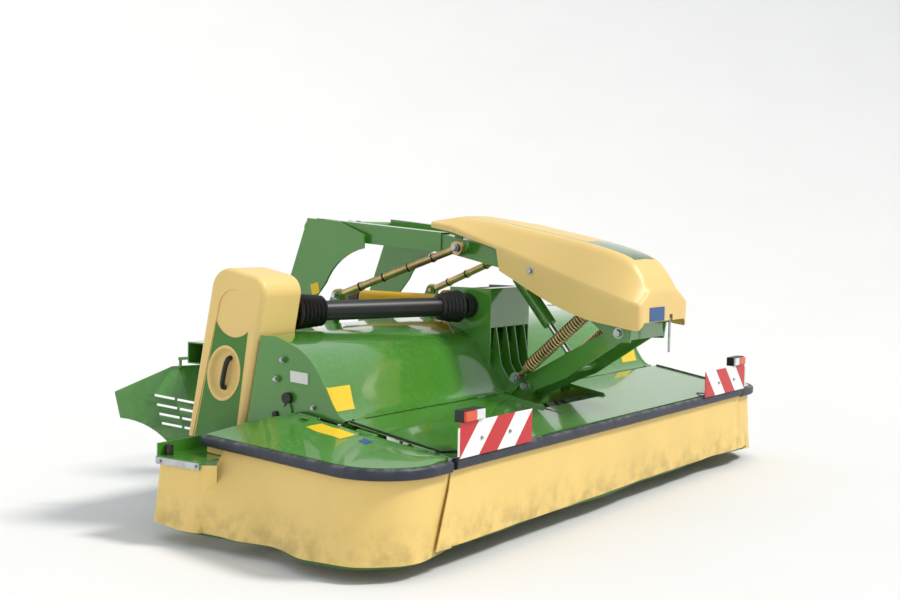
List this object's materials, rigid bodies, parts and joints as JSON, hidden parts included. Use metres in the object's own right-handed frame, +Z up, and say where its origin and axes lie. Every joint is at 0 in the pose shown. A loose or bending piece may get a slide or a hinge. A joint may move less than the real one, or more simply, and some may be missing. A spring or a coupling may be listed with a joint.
{
  "type": "front-mounted disc mower conditioner",
  "caption": "Front-mounted disc mower conditioner with lift arm, relief springs, folding side guards, tine rotor, swath boards and side drive tower.",
  "frame": {"origin": "middle of the machine's box in X and Y, on the ground under the skids", "axes": "+Z up, -Y the direction of travel (the guard's front edge), +X the machine's side without the drive tower"},
  "size_m": [3.7894, 2.177, 1.408],
  "materials": {
    "green_paint": "gloss enamel, slightly weathered",
    "cream": "satin",
    "black_rubber": "dull, dusty",
    "zinc": "passivated zinc",
    "chrome": "polished rod",
    "yellow": "moulded plastic",
    "steel": "worn steel",
    "white": "reflective sheeting",
    "amber": "lamp lens"
  },
  "bodies": {
    "mower": {"cutterbar": "green_paint", "skids": "steel", "main_frame": "green_paint", "end_plates": "green_paint", "hood": "green_paint", "rear_beam": "green_paint", "gearbox_console": "green_paint", "main_gearbox": "steel", "side_gearbox": "green_paint", "side_rails": "green_paint", "rear_curtain_left": "cream", "rear_curtain_right": "cream", "drive_tower": "cream", "tower_handle": "black_rubber", "cross_shaft_guard": "black_rubber", "input_guard": "yellow", "side_step_left": "green_paint", "side_step_right": "green_paint", "hood_cables": "black_rubber"},
    "front_guard_body": {"front_guard": "green_paint", "front_trim": "black_rubber", "front_curtain": "cream", "warning_boards": "white", "board_lamps": "amber", "lamp_cables": "black_rubber"},
    "side_guard_left_body": {"side_guard_left": "green_paint", "side_trim_left": "black_rubber", "side_curtain_left": "cream"},
    "side_guard_right_body": {"side_guard_right": "green_paint", "side_trim_right": "black_rubber", "side_curtain_right": "cream"},
    "input_shaft_body": {"input_shaft": "steel"},
    "rotor_body": {"tine_rotor": "steel"},
    "links_body": {"link_arms": "green_paint"},
    "springs_body": {"relief_springs": "zinc"},
    "spring_rods_body": {"spring_rods": "zinc"},
    "struts_body": {"tie_struts": "zinc"},
    "barrel_body": {"lift_barrel": "green_paint"},
    "rod_body": {"lift_rod": "chrome"},
    "lift_arm_body": {"lift_arm": "green_paint", "lock_lever": "zinc", "headstock": "green_paint", "arm_cover": "cream"},
    "swath_left_body": {"swath_board_left": "green_paint"},
    "swath_right_body": {"swath_board_right": "green_paint"},
    "leg_left_body": {"parking_leg_left": "zinc"},
    "leg_right_body": {"parking_leg_right": "zinc"},
    "disc_1_body": {"cutting_disc_1": "steel"},
    "disc_2_body": {"cutting_disc_2": "steel"},
    "disc_3_body": {"cutting_disc_3": "steel"},
    "disc_4_body": {"cutting_disc_4": "steel"},
    "disc_5_body": {"cutting_disc_5": "steel"},
    "disc_6_body": {"cutting_disc_6": "steel"},
    "disc_7_body": {"cutting_disc_7": "steel"}
  },
  "joints": [
    {"name": "lower_link_lift", "type": "hinge", "parent": "mower", "child": "links_body", "pos_m": [0, -0.446, 0.578], "axis": [-1, 0, 0], "range_deg": [-8, 20]},
    {"name": "arm_parallel", "type": "hinge", "parent": "links_body", "child": "lift_arm_body", "pos_m": [0, -0.951, 0.867], "axis": [1, 0, 0], "range_deg": [-9.2, 22.8]},
    {"name": "tie_strut_swing", "type": "hinge", "parent": "mower", "child": "struts_body", "pos_m": [0, 0.534, 0.985], "axis": [-1, 0, 0], "range_deg": [-7.6, 18.4]},
    {"name": "spring_swing", "type": "hinge", "parent": "mower", "child": "spring_rods_body", "pos_m": [0, -0.431, 0.621], "axis": [-1, 0, 0], "range_deg": [-8.6, 20.8]},
    {"name": "spring_stretch", "type": "slide", "parent": "spring_rods_body", "child": "springs_body", "axis": [0, -0.745, 0.667], "range_m": [-0.022, 0.052]},
    {"name": "lift_barrel_swing", "type": "hinge", "parent": "lift_arm_body", "child": "barrel_body", "pos_m": [0, -0.261, 1.131], "axis": [1, 0, 0], "range_deg": [-1, 2.5]},
    {"name": "lift_rod_stroke", "type": "slide", "parent": "barrel_body", "child": "rod_body", "axis": [0, -0.6361, -0.7716], "range_m": [-0.06, 0.149]},
    {"name": "front_guard_hinge", "type": "hinge", "parent": "mower", "child": "front_guard_body", "pos_m": [0, -0.354, 0.536], "axis": [-1, 0, 0], "range_deg": [0, 18]},
    {"name": "side_guard_left_fold", "type": "hinge", "parent": "mower", "child": "side_guard_left_body", "pos_m": [-1.51, -0.884, 0.452], "axis": [0, 0.9922, 0.1243], "range_deg": [0, 90]},
    {"name": "side_guard_right_fold", "type": "hinge", "parent": "mower", "child": "side_guard_right_body", "pos_m": [1.51, -0.884, 0.452], "axis": [0, -0.9922, -0.1243], "range_deg": [0, 90]},
    {"name": "swath_board_left_turn", "type": "hinge", "parent": "mower", "child": "swath_left_body", "pos_m": [-1.24, 0.599, 0.6], "axis": [0, 0, 1], "range_deg": [-35, 20]},
    {"name": "swath_board_right_turn", "type": "hinge", "parent": "mower", "child": "swath_right_body", "pos_m": [1.24, 0.599, 0.6], "axis": [0, 0, -1], "range_deg": [-35, 20]},
    {"name": "parking_leg_left_slide", "type": "slide", "parent": "lift_arm_body", "child": "leg_left_body", "axis": [0, 0, 1], "range_m": [0, 0.35]},
    {"name": "parking_leg_right_slide", "type": "slide", "parent": "lift_arm_body", "child": "leg_right_body", "axis": [0, 0, 1], "range_m": [0, 0.35]},
    {"name": "input_shaft_turn", "type": "hinge", "parent": "mower", "child": "input_shaft_body", "pos_m": [0, 0.594, 0.953], "axis": [0, 1, 0], "continuous": true},
    {"name": "tine_rotor_turn", "type": "hinge", "parent": "mower", "child": "rotor_body", "pos_m": [0, 0.274, 0.47], "axis": [1, 0, 0], "continuous": true},
    {"name": "disc_1_turn", "type": "hinge", "parent": "mower", "child": "disc_1_body", "pos_m": [-1.32, -0.506, 0.112], "axis": [0, 0, 1], "continuous": true},
    {"name": "disc_2_turn", "type": "hinge", "parent": "mower", "child": "disc_2_body", "pos_m": [-0.88, -0.506, 0.112], "axis": [0, 0, 1], "continuous": true},
    {"name": "disc_3_turn", "type": "hinge", "parent": "mower", "child": "disc_3_body", "pos_m": [-0.44, -0.506, 0.112], "axis": [0, 0, 1], "continuous": true},
    {"name": "disc_4_turn", "type": "hinge", "parent": "mower", "child": "disc_4_body", "pos_m": [0, -0.506, 0.112], "axis": [0, 0, 1], "continuous": true},
    {"name": "disc_5_turn", "type": "hinge", "parent": "mower", "child": "disc_5_body", "pos_m": [0.44, -0.506, 0.112], "axis": [0, 0, 1], "continuous": true},
    {"name": "disc_6_turn", "type": "hinge", "parent": "mower", "child": "disc_6_body", "pos_m": [0.88, -0.506, 0.112], "axis": [0, 0, 1], "continuous": true},
    {"name": "disc_7_turn", "type": "hinge", "parent": "mower", "child": "disc_7_body", "pos_m": [1.32, -0.506, 0.112], "axis": [0, 0, 1], "continuous": true}
  ],
  "couplings": [
    {"joint": "arm_parallel", "follows": "lower_link_lift", "ratio": 1.123},
    {"joint": "tie_strut_swing", "follows": "lower_link_lift", "ratio": 0.905},
    {"joint": "spring_swing", "follows": "lower_link_lift", "ratio": 1.025},
    {"joint": "spring_stretch", "follows": "lower_link_lift", "m_per_rad": 0.142},
    {"joint": "lift_barrel_swing", "follows": "lower_link_lift", "ratio": 0.1},
    {"joint": "lift_rod_stroke", "follows": "lower_link_lift", "m_per_rad": 0.42},
    {"joint": "disc_2_turn", "follows": "disc_1_turn", "ratio": -1},
    {"joint": "disc_3_turn", "follows": "disc_1_turn", "ratio": 1},
    {"joint": "disc_4_turn", "follows": "disc_1_turn", "ratio": -1},
    {"joint": "disc_5_turn", "follows": "disc_1_turn", "ratio": 1},
    {"joint": "disc_6_turn", "follows": "disc_1_turn", "ratio": -1},
    {"joint": "disc_7_turn", "follows": "disc_1_turn", "ratio": 1}
  ]
}
